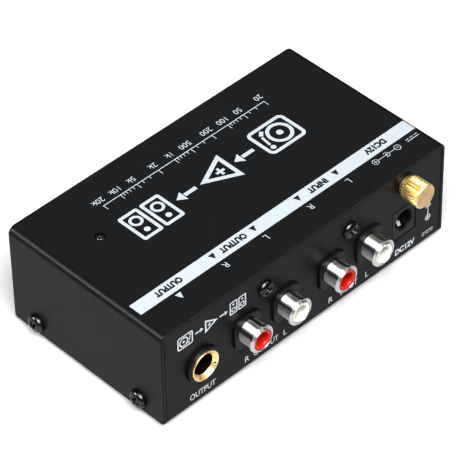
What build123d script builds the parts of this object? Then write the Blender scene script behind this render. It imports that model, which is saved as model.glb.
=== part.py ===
from build123d import *
import os
from math import cos, sin, pi, radians

os.makedirs("parts", exist_ok=True)

# ---------------------------------------------------------------------------
# Compact phono preamp in a folded steel case.
# Row frame, millimetres: origin at the centre of the footprint on the surface
# it stands on, +Z up, connector panel facing -Y, +X to the right when looking
# at the connector panel.
# ---------------------------------------------------------------------------

# Driving dimensions of the case
W = 106.0          # width over the cover
D = 58.4           # depth over the cover's cut edges
H = 32.2           # height of the metal case
T = 1.2            # sheet thickness of cover and chassis
R_BEND = 2.3       # outside bend radius of the cover
R_CORNER = 1.0     # rounded lower corners of the cover's flaps
R_EDGE = 0.3       # paint-softened cut edges
GAP = 0.15         # play between cover and chassis
RECESS = 0.15      # connector panel behind the cover's cut edge
FOOT_H = 1.5       # rubber foot, from the chassis floor to the table
PROT = 7.1         # how far the ground screw's head stands out of the case

# Derived planes
YC = PROT / 2                # centre of the case in Y
YF = YC - D / 2              # cut edge of the cover on the connector side
YB = YC + D / 2              # cut edge of the cover on the plain side
Z0 = 1.5                     # lower edge of the cover's flaps
ZT = Z0 + H                  # top of the cover
ZB0 = Z0                     # underside of the chassis floor
CHW = W / 2 - T - GAP        # half width of the chassis
ZPT = ZT - T - GAP           # top edge of the two chassis panels

# Connector positions: X across the panel, Z above the table
X_JACK, Z_JACK = -39.1, Z0 + 13.5
RCA = {"output_right": -22.7, "output_left": -8.4, "input_right": 9.0, "input_left": 23.3}
Z_RCA = Z0 + 14.5
X_DC, Z_DC = 37.45, Z0 + 13.7
X_GND, Z_GND = 37.75, Z0 + 26.45
PANEL_SCREWS = [(-15.55, Z0 + 24.2), (16.15, Z0 + 24.0)]
SIDE_SCREW_Y = (YC - 19.9, YC + 19.9)
Z_SIDE_SCREW = Z0 + 3.85
X_LED, Y_LED = -38.1, YC + 9.6

# Circuit board
ZP = Z0 + 7.2                # top of the board
PCB_T = 1.6
STANDOFFS = [(-34.0, YC + 22.0), (34.0, YC + 22.0), (45.0, -5.0), (-27.0, -8.0)]
FEET = [(-44.0, YC - 21.0), (44.0, YC - 21.0), (-44.0, YC + 21.0), (44.0, YC + 21.0)]

# Connector sizes
R_JACK_BORE = 3.25           # 6.35 mm plug
R_SHELL_LIP = 4.15           # phono shell, outside
R_SHELL = 3.65
R_SHELL_IN = 3.15
R_CONTACT = 1.65             # phono pin of 3.2 mm
RCA_OUT = 6.12               # front of the shell's mouth in front of the panel
R_DC_HOLE = 3.15
R_DC_PIN = 1.05


def out_plane(x, z, out=0.0):
    """Plane parallel to the connector panel, 'out' mm in front of the cover's edge, facing away from the case."""
    return Plane(origin=(x, YF - out, z), x_dir=(1, 0, 0), z_dir=(0, -1, 0))


def lathe_plane(x, z):
    """Half-section of a turned piece: local x runs out of the panel, local y is the radius."""
    return Plane(origin=(x, YF, z), x_dir=(0, -1, 0), z_dir=(-1, 0, 0))


def lathe_axis(x, z):
    return Axis((x, YF, z), (0, -1, 0))


# ---------------------------------------------------------------------------
# Case
# ---------------------------------------------------------------------------

# Cover: top and two flaps folded from one sheet
with BuildPart() as top_cover:
    with BuildSketch(Plane.XZ.offset(-YB)) as section:
        with Locations((0, Z0)):
            Rectangle(W, H, align=(Align.CENTER, Align.MIN))
        with Locations((0, Z0)):
            Rectangle(W - 2 * T, H - T, align=(Align.CENTER, Align.MIN), mode=Mode.SUBTRACT)
        tops = section.vertices().group_by(Axis.Y)
        fillet(tops[-1], R_BEND)
        fillet(section.vertices().filter_by_position(Axis.Y, ZT - T - 0.01, ZT - T + 0.01), R_BEND - T)
    extrude(amount=D)
    fillet(top_cover.edges().filter_by(Axis.X).group_by(Axis.Z)[0], R_CORNER)
    cut_ends = top_cover.faces().filter_by(Axis.Y).sort_by(Axis.Y)
    fillet(cut_ends[0].edges() + cut_ends[-1].edges(), R_EDGE)
    with BuildSketch(Plane.YZ):
        with Locations(*[(y, Z_SIDE_SCREW) for y in SIDE_SCREW_Y]):
            Circle(1.7)
    extrude(amount=W, both=True, mode=Mode.SUBTRACT)
    with BuildSketch(Plane.XY.offset(ZT - 3)):
        with Locations((X_LED, Y_LED)):
            Circle(1.56)
    extrude(amount=5, mode=Mode.SUBTRACT)
top_cover.part.label = "top_cover"
export_step(top_cover.part, "parts/top_cover.step")

# Chassis: floor, connector panel and plain panel folded from one sheet, with two
# screw tabs folded up on each side
with BuildPart() as chassis:
    with BuildSketch(Plane.YZ.offset(-CHW)) as section:
        with Locations((YC, ZB0)):
            Rectangle(D - 2 * RECESS, ZPT - ZB0, align=(Align.CENTER, Align.MIN))
        with Locations((YC, ZB0 + T)):
            Rectangle(D - 2 * RECESS - 2 * T, ZPT, align=(Align.CENTER, Align.MIN), mode=Mode.SUBTRACT)
        fillet(section.vertices().group_by(Axis.Y)[0], 0.9)
        fillet(section.vertices().filter_by_position(Axis.Y, ZB0 + T - 0.01, ZB0 + T + 0.01), 0.3)
    extrude(amount=2 * CHW)
    fillet(chassis.edges().filter_by(Axis.Y).group_by(Axis.Z)[-1], R_BEND - T - GAP)
    # screw tabs
    with Locations(*[(s * (CHW - T / 2), y, ZB0) for s in (-1, 1) for y in SIDE_SCREW_Y]):
        Box(T, 12, 9, align=(Align.CENTER, Align.CENTER, Align.MIN))
    with BuildSketch(Plane.YZ):
        with Locations(*[(y, Z_SIDE_SCREW) for y in SIDE_SCREW_Y]):
            Circle(1.5)
    extrude(amount=W, both=True, mode=Mode.SUBTRACT)
    # connector openings
    with BuildSketch(out_plane(0, 0, -3.0)):
        with Locations((X_JACK, Z_JACK)):
            Circle(5.6)
        with Locations(*[(x, Z_RCA) for x in RCA.values()]):
            RectangleRounded(10.1, 10.8, 2.9)
        with Locations((X_DC, Z0 + 13.3)):
            Rectangle(9.5, 10.7)
        with Locations((X_GND, Z_GND)):
            Circle(2.15)
        with Locations(*PANEL_SCREWS):
            Circle(1.6)
    extrude(amount=4, mode=Mode.SUBTRACT)
    # seats of the pressed-in standoffs
    with BuildSketch(Plane.XY.offset(ZB0 - 1)):
        with Locations(*STANDOFFS):
            Circle(2.1)
    extrude(amount=3, mode=Mode.SUBTRACT)
chassis.part.label = "chassis"
export_step(chassis.part, "parts/chassis.step")

# Four M3 pan-head screws through the flaps into the chassis tabs
with BuildPart() as cover_screws:
    for s in (-1, 1):
        for y in SIDE_SCREW_Y:
            with BuildSketch(Plane(origin=(s * W / 2, y, Z_SIDE_SCREW), x_dir=(s, 0, 0), z_dir=(0, -s, 0))):
                with BuildLine():
                    l1 = Line((0.02, 0), (1.75, 0))
                    l2 = ThreePointArc((1.75, 0), (1.42, 1.6), (0.6, 2.75))
                    l3 = Polyline((0.6, 2.75), (0.02, 2.75), (0.02, 1.45), (-4.8, 1.45), (-5.2, 1.05), (-5.2, 0), (0.02, 0))
                make_face()
            revolve(axis=Axis((s * W / 2, y, Z_SIDE_SCREW), (s, 0, 0)))
            with BuildSketch(Plane(origin=(s * (W / 2 + 1.8), y, Z_SIDE_SCREW), x_dir=(0, s, 0), z_dir=(s, 0, 0))):
                Rectangle(3.2, 0.7)
                Rectangle(0.7, 3.2)
                Circle(0.75)
            extrude(amount=-1.15, taper=8, mode=Mode.SUBTRACT)
cover_screws.part.label = "cover_screws"
export_step(cover_screws.part, "parts/cover_screws.step")

# Four self-adhesive rubber feet
with BuildPart() as rubber_feet:
    for x, y in FEET:
        with BuildSketch(Plane(origin=(x, y, 0), x_dir=(1, 0, 0), z_dir=(0, -1, 0))):
            with BuildLine():
                Polyline((0, 0), (3.35, 0), (3.65, 0.25), (4.0, FOOT_H), (0, FOOT_H), close=True)
            make_face()
        revolve(axis=Axis((x, y, 0), (0, 0, 1)))
rubber_feet.part.label = "rubber_feet"
export_step(rubber_feet.part, "parts/rubber_feet.step")

# ---------------------------------------------------------------------------
# Phono sockets: two blocks of two, each a moulded housing with a square boss
# per socket, a nickel shell, a coloured insert and a centre contact
# ---------------------------------------------------------------------------

BLOCKS = {"output": ("output_right", "output_left", PANEL_SCREWS[0]),
          "input": ("input_right", "input_left", PANEL_SCREWS[1])}

for block, (right, left, screw) in BLOCKS.items():
    xm = (RCA[right] + RCA[left]) / 2
    with BuildPart() as housing:
        # body on the board, behind the panel
        with BuildSketch(out_plane(xm, 0, -T - RECESS - 0.05)):
            with Locations((0, ZP + 0.05)):
                Rectangle(26.4, 12.8, align=(Align.CENTER, Align.MIN))
            with BuildLine():
                Polyline((-6.5, ZP + 12.0), (6.5, ZP + 12.0), (4.2, Z0 + 27.6), (-4.2, Z0 + 27.6), close=True)
            make_face()
        extrude(amount=-6.6)
        # square bosses through the panel
        with BuildSketch(out_plane(0, 0, -T - RECESS - 0.05)):
            with Locations((RCA[right], Z_RCA), (RCA[left], Z_RCA)):
                RectangleRounded(9.7, 10.4, 2.7)
        extrude(amount=T + RECESS + 0.05 + 0.8)
        fillet(housing.faces().filter_by(Axis.Y).sort_by(Axis.Y)[0:2].edges(), 0.35)
        # shell seats, contact seats, screw hole
        with BuildSketch(out_plane(0, 0, -6.0)):
            with Locations((RCA[right], Z_RCA), (RCA[left], Z_RCA)):
                Circle(R_SHELL + 0.05)
        extrude(amount=8, mode=Mode.SUBTRACT)
        with BuildSketch(out_plane(0, 0, -10.0)):
            with Locations((RCA[right], Z_RCA), (RCA[left], Z_RCA)):
                Circle(2.3)
        extrude(amount=6, mode=Mode.SUBTRACT)
        with BuildSketch(out_plane(0, 0, -10.0)):
            with Locations(screw):
                Circle(1.25)
        extrude(amount=12, mode=Mode.SUBTRACT)
    housing.part.label = f"rca_{block}_housing"
    export_step(housing.part, f"parts/rca_{block}_housing.step")

for socket, x in RCA.items():
    with BuildPart() as shell:
        with BuildSketch(lathe_plane(x, Z_RCA)):
            with BuildLine():
                # a flat lip, and a short cone in front of it
                Polyline((-5.95, R_SHELL_IN), (-5.95, R_SHELL), (5.02, R_SHELL), (5.06, R_SHELL_LIP - 0.09),
                         (5.12, R_SHELL_LIP), (5.66, R_SHELL_LIP), (5.72, R_SHELL_LIP - 0.04),
                         (5.74, R_SHELL_LIP - 0.12), (5.74, R_SHELL), (RCA_OUT, R_SHELL_IN + 0.11),
                         (RCA_OUT, R_SHELL_IN), close=True)
            make_face()
        revolve(axis=lathe_axis(x, Z_RCA))
    shell.part.label = f"rca_shell_{socket}"
    export_step(shell.part, f"parts/rca_shell_{socket}.step")

    with BuildPart() as insert:
        with BuildSketch(lathe_plane(x, Z_RCA)):
            with BuildLine():
                Polyline((5.9, 2.25), (6.06, 2.92), (6.0, 3.04), (5.9, R_SHELL_IN - 0.05), (-5.9, R_SHELL_IN - 0.05),
                         (-5.9, 2.25), (1.6, 2.25), (1.6, 2.0), (5.2, 2.0), (5.52, 2.08), close=True)
            make_face()
        revolve(axis=lathe_axis(x, Z_RCA))
    insert.part.label = f"rca_insert_{socket}"
    export_step(insert.part, f"parts/rca_insert_{socket}.step")

    with BuildPart() as contact:
        with BuildSketch(lathe_plane(x, Z_RCA)):
            with BuildLine():
                Polyline((1.5, R_CONTACT), (1.5, 2.05), (1.35, 2.2), (-9.0, 2.2), (-9.0, 0), (-8.4, 0),
                         (-8.4, R_CONTACT), close=True)
            make_face()
        revolve(axis=lathe_axis(x, Z_RCA))
        # spring slit and solder tail
        with BuildSketch(out_plane(x, Z_RCA, -4.5)):
            Rectangle(0.4, 6)
        extrude(amount=7, mode=Mode.SUBTRACT)
        with Locations((x, YF + 8.7, ZP - 3.0)):
            Box(0.9, 0.5, Z_RCA - ZP + 1.4, align=(Align.CENTER, Align.CENTER, Align.MIN))
    contact.part.label = f"rca_contact_{socket}"
    export_step(contact.part, f"parts/rca_contact_{socket}.step")

# Two black screws that draw the blocks against the panel
with BuildPart() as panel_screws:
    for x, z in PANEL_SCREWS:
        with BuildSketch(lathe_plane(x, z)):
            with BuildLine():
                Line((-0.13, 0), (1.35, 0))
                ThreePointArc((1.35, 0), (1.1, 1.5), (0.35, 2.6))
                Polyline((0.35, 2.6), (-0.13, 2.6), (-0.13, 1.2), (-6.6, 1.2), (-7.4, 0.3), (-7.4, 0), (-0.13, 0))
            make_face()
        revolve(axis=lathe_axis(x, z))
        with BuildSketch(out_plane(x, z, 1.4)):
            Rectangle(3.0, 0.65)
            Rectangle(0.65, 3.0)
            Circle(0.7)
        extrude(amount=-1.05, taper=8, mode=Mode.SUBTRACT)
panel_screws.part.label = "panel_screws"
export_step(panel_screws.part, "parts/panel_screws.step")

# ---------------------------------------------------------------------------
# 6.35 mm output jack
# ---------------------------------------------------------------------------

with BuildPart() as phone_jack_housing:
    with BuildSketch(out_plane(X_JACK, 0, -T - RECESS - 0.05)):
        with Locations((0, ZP + 0.05)):
            Rectangle(16.0, 12.55, align=(Align.CENTER, Align.MIN))
    extrude(amount=-26.0)
    fillet(phone_jack_housing.edges().filter_by(Axis.Y).group_by(Axis.Z)[-1], 1.2)
    # collar through the panel
    with BuildSketch(out_plane(X_JACK, Z_JACK, -T - RECESS - 0.05)):
        Circle(5.4)
    extrude(amount=T + RECESS + 0.05 + 1.05)
    fillet(phone_jack_housing.edges().filter_by(GeomType.CIRCLE).sort_by(Axis.Y)[0], 0.3)
    # seat of the threaded ferrule, then the barrel for the plug
    with BuildSketch(out_plane(X_JACK, Z_JACK, -9.0)):
        Circle(4.15)
    extrude(amount=12, mode=Mode.SUBTRACT)
    with BuildSketch(out_plane(X_JACK, Z_JACK, -30.0)):
        Circle(3.6)
    extrude(amount=22, mode=Mode.SUBTRACT)
    # slots for the contact leaves, above and below the barrel
    with Locations((X_JACK, YF + 10.5, Z_JACK)):
        Box(3.6, 20, 10.6, align=(Align.CENTER, Align.MIN, Align.CENTER), mode=Mode.SUBTRACT)
phone_jack_housing.part.label = "phone_jack_housing"
export_step(phone_jack_housing.part, "parts/phone_jack_housing.step")

with BuildPart() as phone_jack_ferrule:
    with BuildSketch(lathe_plane(X_JACK, Z_JACK)):
        with BuildLine():
            Polyline((-8.9, R_JACK_BORE), (-8.9, 4.1), (1.1, 4.1), (1.1, 4.75), (1.5, 4.75), (1.75, 4.6),
                     (1.75, 4.35), (0.6, R_JACK_BORE), close=True)
        make_face()
    revolve(axis=lathe_axis(X_JACK, Z_JACK))
    # four staking dimples in the flare
    for a in (-108, -18, 72, 162):
        with Locations((X_JACK + 3.95 * cos(radians(a)), YF - 1.45, Z_JACK + 3.95 * sin(radians(a)))):
            Sphere(0.42, mode=Mode.SUBTRACT)
phone_jack_ferrule.part.label = "phone_jack_ferrule"
export_step(phone_jack_ferrule.part, "parts/phone_jack_ferrule.step")

# Contact leaves: tip (top, rear), ring (bottom), each a strip bent towards the barrel
with BuildPart() as phone_jack_tip_spring:
    with BuildSketch(Plane.YZ.offset(X_JACK - 1.5)):
        with BuildLine():
            Polyline((YF + 29.5, Z_JACK + 4.9), (YF + 21.5, Z_JACK + 4.5), (YF + 18.5, Z_JACK + 2.7), (YF + 16.0, Z_JACK + 4.2))
            offset(amount=0.2, side=Side.BOTH)
        make_face()
    extrude(amount=3.0)
    with Locations((X_JACK, YF + 29.3, ZP - 3.0)):
        Box(1.2, 0.4, Z_JACK + 4.9 - ZP + 3.0, align=(Align.CENTER, Align.CENTER, Align.MIN))
phone_jack_tip_spring.part.label = "phone_jack_tip_spring"
export_step(phone_jack_tip_spring.part, "parts/phone_jack_tip_spring.step")

with BuildPart() as phone_jack_ring_spring:
    with BuildSketch(Plane.YZ.offset(X_JACK - 1.5)):
        with BuildLine():
            Polyline((YF + 28.2, Z_JACK - 4.8), (YF + 19.0, Z_JACK - 4.5), (YF + 15.5, Z_JACK - 2.7), (YF + 13.0, Z_JACK - 4.2))
            offset(amount=0.2, side=Side.BOTH)
        make_face()
    extrude(amount=3.0)
    with Locations((X_JACK, YF + 28.0, ZP - 3.0)):
        Box(1.2, 0.4, Z_JACK - 4.8 - ZP + 3.0, align=(Align.CENTER, Align.CENTER, Align.MIN))
phone_jack_ring_spring.part.label = "phone_jack_ring_spring"
export_step(phone_jack_ring_spring.part, "parts/phone_jack_ring_spring.step")

# ---------------------------------------------------------------------------
# DC inlet, 5.5 x 2.1 mm
# ---------------------------------------------------------------------------

with BuildPart() as dc_jack_housing:
    with BuildSketch(out_plane(X_DC, 0, -T - RECESS - 0.05)):
        with Locations((0, ZP + 0.05)):
            Rectangle(9.0, 11.0, align=(Align.CENTER, Align.MIN))
    extrude(amount=-13.0)
    with BuildSketch(out_plane(X_DC, Z0 + 13.3, -T - RECESS - 0.05)):
        Rectangle(9.0, 10.2)
    extrude(amount=T + 0.05)
    chamfer(dc_jack_housing.faces().filter_by(Axis.Y).sort_by(Axis.Y)[0].edges(), 0.2)
    with BuildSketch(out_plane(X_DC, Z_DC, -9.5)):
        Circle(R_DC_HOLE)
    extrude(amount=12, mode=Mode.SUBTRACT)
    chamfer(dc_jack_housing.edges().filter_by(GeomType.CIRCLE).sort_by(Axis.Y)[0], 0.3)
    # pin seat and the slot of the sleeve contact
    with BuildSketch(out_plane(X_DC, Z_DC, -16.0)):
        Circle(1.35)
    extrude(amount=8, mode=Mode.SUBTRACT)
    with Locations((X_DC, YF + 1.0, Z_DC - 4.3)):
        Box(2.4, 14.0, 3.4, align=(Align.CENTER, Align.MIN, Align.MIN), mode=Mode.SUBTRACT)
    with Locations((X_DC, YF + 13.1, ZP - 1.0)):
        Box(2.4, 3.0, 5.0, align=(Align.CENTER, Align.MIN, Align.MIN), mode=Mode.SUBTRACT)
dc_jack_housing.part.label = "dc_jack_housing"
export_step(dc_jack_housing.part, "parts/dc_jack_housing.step")

with BuildPart() as dc_jack_pin:
    with BuildSketch(lathe_plane(X_DC, Z_DC)):
        with BuildLine():
            Polyline((-2.95, 0), (-2.95, 0.6), (-3.4, R_DC_PIN), (-9.5, R_DC_PIN), (-9.5, 1.3), (-14.9, 1.3), (-14.9, 0), close=True)
        make_face()
    revolve(axis=lathe_axis(X_DC, Z_DC))
    with Locations((X_DC, YF + 15.2, ZP - 3.0)):
        Box(2.2, 0.8, Z_DC - ZP + 4.0, align=(Align.CENTER, Align.CENTER, Align.MIN))
dc_jack_pin.part.label = "dc_jack_pin"
export_step(dc_jack_pin.part, "parts/dc_jack_pin.step")

with BuildPart() as dc_jack_spring:
    with BuildSketch(Plane.YZ.offset(X_DC - 0.6)):
        with BuildLine():
            Polyline((YF + 14.0, Z_DC - 3.9), (YF + 6.0, Z_DC - 3.5), (YF + 2.5, Z_DC - 2.25), (YF + 1.75, Z_DC - 3.15))
            offset(amount=0.15, side=Side.BOTH)
        make_face()
    extrude(amount=1.2)
    with Locations((X_DC, YF + 13.6, ZP - 3.0)):
        Box(1.2, 0.4, Z_DC - 3.9 - ZP + 3.0, align=(Align.CENTER, Align.CENTER, Align.MIN))
dc_jack_spring.part.label = "dc_jack_spring"
export_step(dc_jack_spring.part, "parts/dc_jack_spring.step")

# ---------------------------------------------------------------------------
# Ground terminal: knurled thumb screw, washer, clinch nut, lug and lead
# ---------------------------------------------------------------------------

KNURLS = 27
with BuildPart() as ground_thumbscrew:
    with BuildSketch(out_plane(X_GND, Z_GND, 1.3)):
        with BuildLine():
            ring = []
            for i in range(KNURLS):
                a = 2 * pi * i / KNURLS
                h = 2 * pi / KNURLS
                ring += [(3.75 * cos(a - 0.14 * h), 3.75 * sin(a - 0.14 * h)),
                         (3.75 * cos(a + 0.14 * h), 3.75 * sin(a + 0.14 * h)),
                         (3.42 * cos(a + 0.5 * h), 3.42 * sin(a + 0.5 * h))]
            Polyline(*ring, close=True)
        make_face()
    extrude(amount=PROT - 1.3)
    # turned chamfers at both ends of the knurl
    with BuildSketch(lathe_plane(X_GND, Z_GND)):
        with BuildLine():
            Polyline((1.25, 0), (1.25, 3.5), (1.55, 3.85), (PROT - 0.25, 3.85), (PROT, 3.5), (PROT, 0), close=True)
        make_face()
    revolve(axis=lathe_axis(X_GND, Z_GND), mode=Mode.INTERSECT)
    # smooth shoulder and shank
    with BuildSketch(lathe_plane(X_GND, Z_GND)):
        with BuildLine():
            Polyline((1.4, 0), (1.4, 3.5), (1.0, 3.5), (0.9, 3.4), (0.9, 1.95), (-7.4, 1.95), (-8.0, 1.4), (-8.0, 0), close=True)
        make_face()
    revolve(axis=lathe_axis(X_GND, Z_GND))
ground_thumbscrew.part.label = "ground_thumbscrew"
export_step(ground_thumbscrew.part, "parts/ground_thumbscrew.step")

with BuildPart() as ground_washer:
    with BuildSketch(out_plane(X_GND, Z_GND, -0.12)):
        Circle(2.9)
        Circle(2.15, mode=Mode.SUBTRACT)
    extrude(amount=1.0)
    fillet(ground_washer.edges().filter_by(GeomType.CIRCLE).group_by(SortBy.RADIUS)[-1], 0.2)
ground_washer.part.label = "ground_washer"
export_step(ground_washer.part, "parts/ground_washer.step")

with BuildPart() as ground_nut:
    with BuildSketch(out_plane(X_GND, Z_GND, -1.95)):
        RegularPolygon(radius=3.5, side_count=6, major_radius=False)
        Circle(2.0, mode=Mode.SUBTRACT)
    extrude(amount=-3.2)
ground_nut.part.label = "ground_nut"
export_step(ground_nut.part, "parts/ground_nut.step")

with BuildPart() as ground_lug:
    with BuildSketch(out_plane(X_GND, Z_GND, -1.9)):
        Circle(3.6)
        Rectangle(9.6, 2.6, align=(Align.MIN, Align.CENTER))
        Circle(2.15, mode=Mode.SUBTRACT)
        with Locations((8.2, 0)):
            Circle(0.7, mode=Mode.SUBTRACT)
    extrude(amount=0.5)
ground_lug.part.label = "ground_lug"
export_step(ground_lug.part, "parts/ground_lug.step")

with BuildPart() as ground_lead:
    with BuildLine() as route:
        FilletPolyline((X_GND + 8.2, YF + 1.45, Z_GND), (X_GND + 8.2, YF + 5.2, Z_GND), (X_GND + 8.6, YF + 6.0, Z_GND - 7.0),
                       (X_GND + 8.2, YF + 6.4, ZP - 2.0), radius=1.6)
    with BuildSketch(Plane(origin=route.wires()[0] @ 0, z_dir=route.wires()[0] % 0)):
        Circle(0.62)
    sweep()
ground_lead.part.label = "ground_lead"
export_step(ground_lead.part, "parts/ground_lead.step")

# ---------------------------------------------------------------------------
# Power light
# ---------------------------------------------------------------------------

with BuildPart() as power_led:
    with BuildSketch(Plane(origin=(X_LED, Y_LED, 0), x_dir=(1, 0, 0), z_dir=(0, -1, 0))):
        with BuildLine():
            Polyline((0, ZT - 5.8), (1.9, ZT - 5.8), (1.9, ZT - 4.8), (1.5, ZT - 4.8), (1.5, ZT - 1.6))
            CenterArc((0, ZT - 1.6), 1.5, 0, 90)
            Line((0, ZT - 0.1), (0, ZT - 5.8))
        make_face()
    revolve(axis=Axis((X_LED, Y_LED, 0), (0, 0, 1)))
power_led.part.label = "power_led"
export_step(power_led.part, "parts/power_led.step")

with BuildPart() as led_spacer:
    with BuildSketch(Plane.XY.offset(ZP + 0.05)):
        with Locations((X_LED, Y_LED)):
            Circle(2.4)
            with Locations((-1.27, 0), (1.27, 0)):
                Circle(0.5, mode=Mode.SUBTRACT)
    extrude(amount=ZT - 5.85 - ZP - 0.05)
led_spacer.part.label = "led_spacer"
export_step(led_spacer.part, "parts/led_spacer.step")

with BuildPart() as led_leads:
    with Locations((X_LED - 1.27, Y_LED, ZP - 3.0), (X_LED + 1.27, Y_LED, ZP - 3.0)):
        Box(0.5, 0.5, ZT - 5.85 - ZP + 3.0, align=(Align.CENTER, Align.CENTER, Align.MIN))
led_leads.part.label = "led_leads"
export_step(led_leads.part, "parts/led_leads.step")

# ---------------------------------------------------------------------------
# Circuit board and what stands on it
# ---------------------------------------------------------------------------

DIPS = [(-14.0, 4.0), (10.0, 4.0)]
CANS = [(-24.0, 25.5), (-15.5, 25.5), (-7.0, 25.5), (1.5, 25.5), (10.0, 25.5), (18.5, 25.5)]
BIG_CANS = [(41.5, 7.5), (41.5, 18.5)]
FILMS = [(-2.0, 0.5), (-2.0, 4.5), (-2.0, 8.5), (-25.0, 0.5), (-25.0, 5.0), (21.0, 3.0), (21.0, 8.0)]
DISCS = [(19.0, -9.0), (25.5, -9.0), (-20.0, 14.0), (-26.5, 14.0)]
RESISTORS = [(-20.0 + 4.0 * i, -9.0) for i in range(9)] + [(-14.0 + 4.0 * i, 15.5) for i in range(9)]
REG = (31.0, -3.0)
DIODE = (32.0, 8.0)

with BuildPart() as main_pcb:
    with BuildSketch(Plane.XY.offset(ZP - PCB_T)):
        with Locations((0, (YF + 2.6 + YB - 2.2) / 2)):
            Rectangle(100.0, YB - 2.2 - YF - 2.6)
        # notches that clear the cover screws
        with Locations(*[(s * 50.0, y) for s in (-1, 1) for y in SIDE_SCREW_Y]):
            RectangleRounded(8.0, 7.0, 0.8, mode=Mode.SUBTRACT)
        with Locations(*STANDOFFS):
            Circle(1.6, mode=Mode.SUBTRACT)
        # lead holes
        with Locations((X_LED - 1.27, Y_LED), (X_LED + 1.27, Y_LED)):
            Circle(0.5, mode=Mode.SUBTRACT)
        with Locations(*[(x, YF + 8.7) for x in RCA.values()]):
            Circle(0.6, mode=Mode.SUBTRACT)
        with Locations((X_JACK, YF + 29.3), (X_JACK, YF + 28.0)):
            Rectangle(1.5, 0.9, mode=Mode.SUBTRACT)
        with Locations((X_DC, YF + 15.2), (X_DC, YF + 13.6)):
            Rectangle(2.5, 1.1, mode=Mode.SUBTRACT)
        with Locations((X_GND + 8.2, YF + 6.35)):
            Circle(0.8, mode=Mode.SUBTRACT)
        for x, y in RESISTORS:
            with Locations((x, y - 5.0), (x, y + 5.0)):
                Circle(0.45, mode=Mode.SUBTRACT)
    extrude(amount=PCB_T)
main_pcb.part.label = "main_pcb"
export_step(main_pcb.part, "parts/main_pcb.step")

with BuildPart() as pcb_standoffs:
    for x, y in STANDOFFS:
        with BuildSketch(Plane(origin=(x, y, 0), x_dir=(1, 0, 0), z_dir=(0, -1, 0))):
            with BuildLine():
                Polyline((1.5, ZB0 + 0.02), (2.05, ZB0 + 0.02), (2.05, ZB0 + T + 0.02), (2.75, ZB0 + T + 0.02),
                         (2.75, ZP - PCB_T - 0.02), (1.5, ZP - PCB_T - 0.02), close=True)
            make_face()
        revolve(axis=Axis((x, y, 0), (0, 0, 1)))
pcb_standoffs.part.label = "pcb_standoffs"
export_step(pcb_standoffs.part, "parts/pcb_standoffs.step")

with BuildPart() as pcb_screws:
    for x, y in STANDOFFS:
        with BuildSketch(Plane(origin=(x, y, ZP), x_dir=(1, 0, 0), z_dir=(0, -1, 0))):
            with BuildLine():
                Polyline((0, 0.02), (0, 1.7), (1.6, 1.4), (2.7, 0.6), (2.7, 0.02), (1.45, 0.02), (1.45, -4.4), (0, -4.4), close=True)
            make_face()
        revolve(axis=Axis((x, y, 0), (0, 0, 1)))
        with BuildSketch(Plane.XY.offset(ZP + 1.75)):
            with Locations((x, y)):
                Rectangle(3.0, 0.7)
                Rectangle(0.7, 3.0)
        extrude(amount=-1.0, mode=Mode.SUBTRACT)
pcb_screws.part.label = "pcb_screws"
export_step(pcb_screws.part, "parts/pcb_screws.step")

with BuildPart() as ic_sockets:
    with BuildSketch(Plane.XY.offset(ZP + 0.05)):
        with Locations(*DIPS):
            Rectangle(10.2, 9.6)
            Rectangle(6.0, 3.0, mode=Mode.SUBTRACT)
    extrude(amount=3.0)
ic_sockets.part.label = "ic_sockets"
export_step(ic_sockets.part, "parts/ic_sockets.step")

with BuildPart() as op_amps:
    with BuildSketch(Plane.XY.offset(ZP + 3.6)):
        with Locations(*DIPS):
            Rectangle(9.4, 6.4)
    extrude(amount=3.3)
    # bent legs
    for x, y in DIPS:
        for i in range(4):
            for s in (-1, 1):
                with Locations((x - 3.81 + 2.54 * i, y + s * 3.5, ZP + 3.1)):
                    Box(1.1, 0.7, 2.2, align=(Align.CENTER, Align.CENTER, Align.MIN))
op_amps.part.label = "op_amps"
export_step(op_amps.part, "parts/op_amps.step")

with BuildPart() as signal_capacitors:
    with BuildSketch(Plane.XY.offset(ZP + 0.05)):
        with Locations(*CANS):
            Circle(3.15)
    extrude(amount=11.0)
    fillet(signal_capacitors.edges().filter_by(GeomType.CIRCLE), 0.4)
signal_capacitors.part.label = "signal_capacitors"
export_step(signal_capacitors.part, "parts/signal_capacitors.step")

with BuildPart() as supply_capacitors:
    with BuildSketch(Plane.XY.offset(ZP + 0.05)):
        with Locations(*BIG_CANS):
            Circle(5.0)
    extrude(amount=12.5)
    fillet(supply_capacitors.edges().filter_by(GeomType.CIRCLE), 0.5)
supply_capacitors.part.label = "supply_capacitors"
export_step(supply_capacitors.part, "parts/supply_capacitors.step")

with BuildPart() as film_capacitors:
    with BuildSketch(Plane.XY.offset(ZP + 0.05)):
        with Locations(*FILMS):
            Rectangle(7.2, 2.8)
    extrude(amount=6.8)
    fillet(film_capacitors.edges().filter_by(Axis.Z), 0.4)
film_capacitors.part.label = "film_capacitors"
export_step(film_capacitors.part, "parts/film_capacitors.step")

with BuildPart() as ceramic_capacitors:
    for x, y in DISCS:
        with BuildSketch(Plane(origin=(x, y - 1.0, ZP + 3.6), x_dir=(1, 0, 0), z_dir=(0, 1, 0))):
            Circle(2.4)
        extrude(amount=2.0)
ceramic_capacitors.part.label = "ceramic_capacitors"
export_step(ceramic_capacitors.part, "parts/ceramic_capacitors.step")

with BuildPart() as resistors:
    for x, y in RESISTORS:
        with BuildSketch(Plane(origin=(x, y - 3.1, ZP + 1.35), x_dir=(1, 0, 0), z_dir=(0, 1, 0))):
            Circle(1.15)
        extrude(amount=6.2)
        with Locations((x, y, ZP + 1.35)):
            Box(0.5, 10.5, 0.5)
        with Locations((x, y - 5.0, ZP - 2.8), (x, y + 5.0, ZP - 2.8)):
            Box(0.5, 0.5, 4.4, align=(Align.CENTER, Align.CENTER, Align.MIN))
resistors.part.label = "resistors"
export_step(resistors.part, "parts/resistors.step")

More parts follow.
